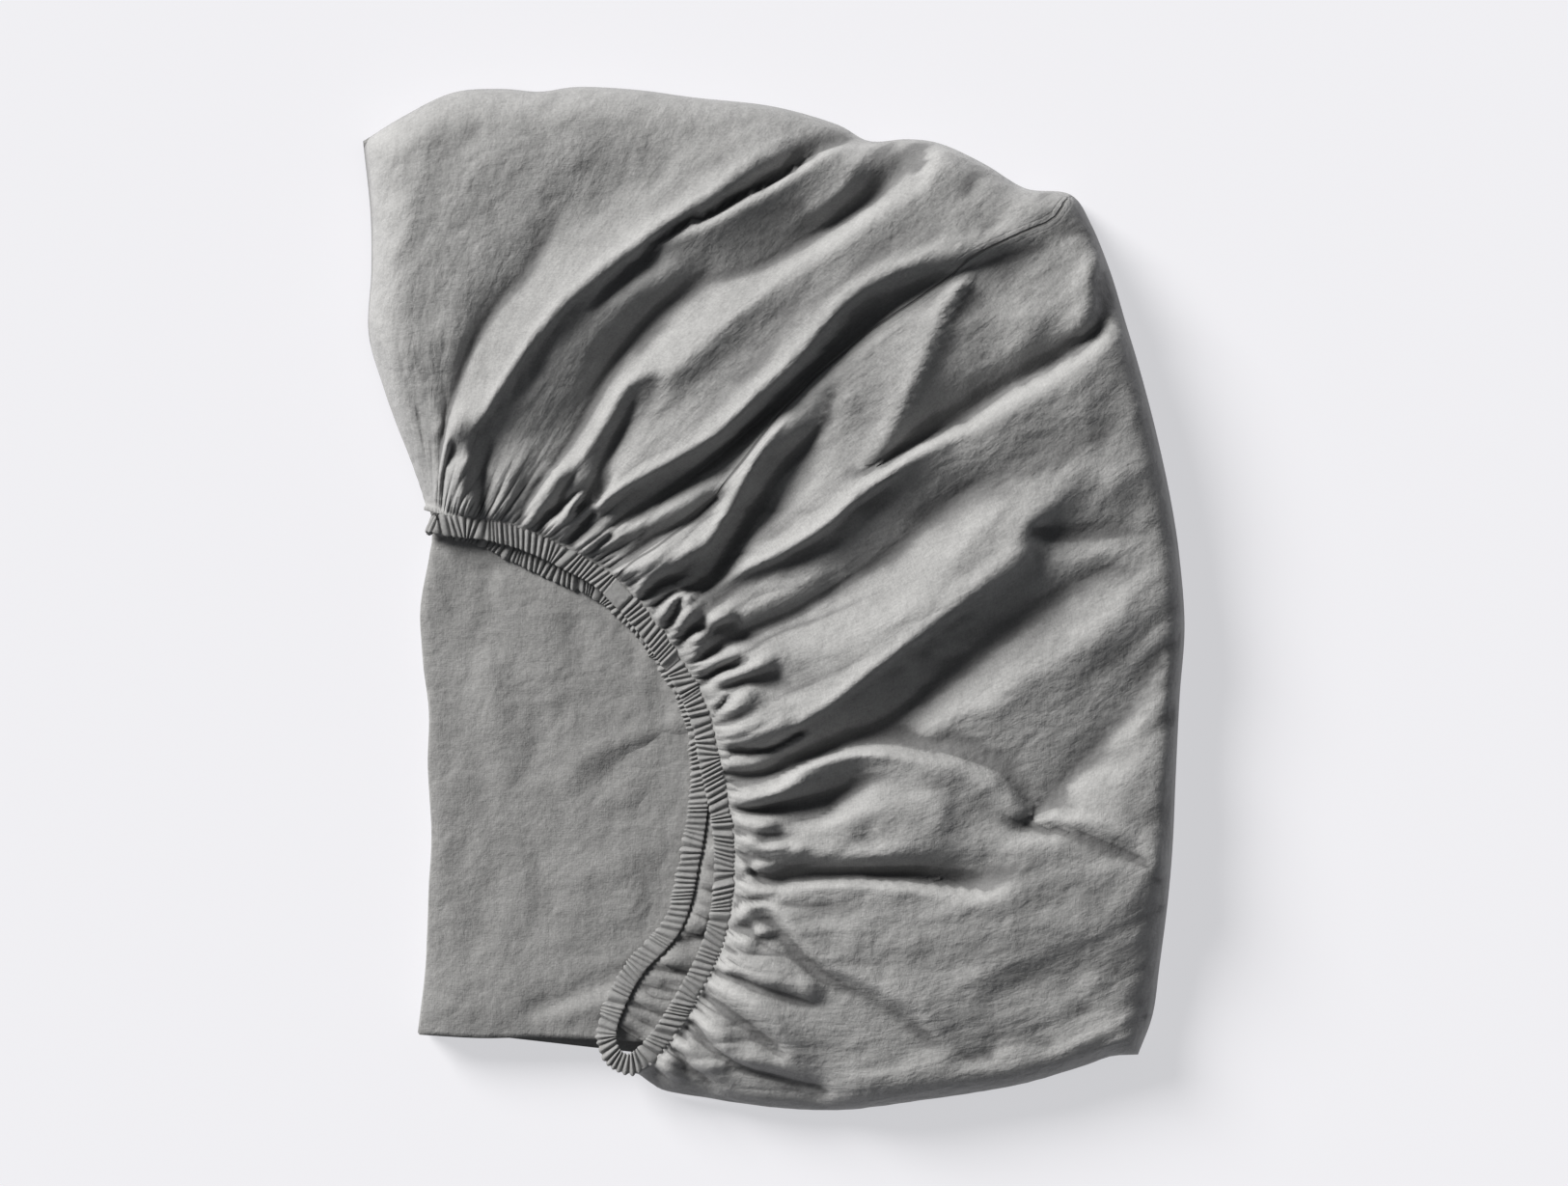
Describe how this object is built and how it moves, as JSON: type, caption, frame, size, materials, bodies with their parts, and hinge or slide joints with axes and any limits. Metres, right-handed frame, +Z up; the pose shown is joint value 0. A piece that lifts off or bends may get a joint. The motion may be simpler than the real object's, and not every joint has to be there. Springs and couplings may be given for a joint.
{
  "type": "folded fitted sheet",
  "caption": "Crumpled linen fitted sheet folded into a flat bundle, its gathered skirt puffed over the folded panel, with the shirred elastic edge arcing across the top.",
  "frame": {"origin": "centre of the bundle's box, on the surface it lies on", "axes": "+Z up, +Y along the folded panel's length towards the puffed end, +X across the panel towards the skirt's rounded side"},
  "size_m": [0.4254, 0.5305, 0.0561],
  "materials": {
    "linen": "washed mid-grey plain-weave linen, matt, crumpled all over",
    "shirred_linen": "the same linen gathered tightly over the elastic, in fine ribs"
  },
  "bodies": {
    "root": {"sheet": "linen", "elastic_edge": "shirred_linen"}
  },
  "joints": []
}
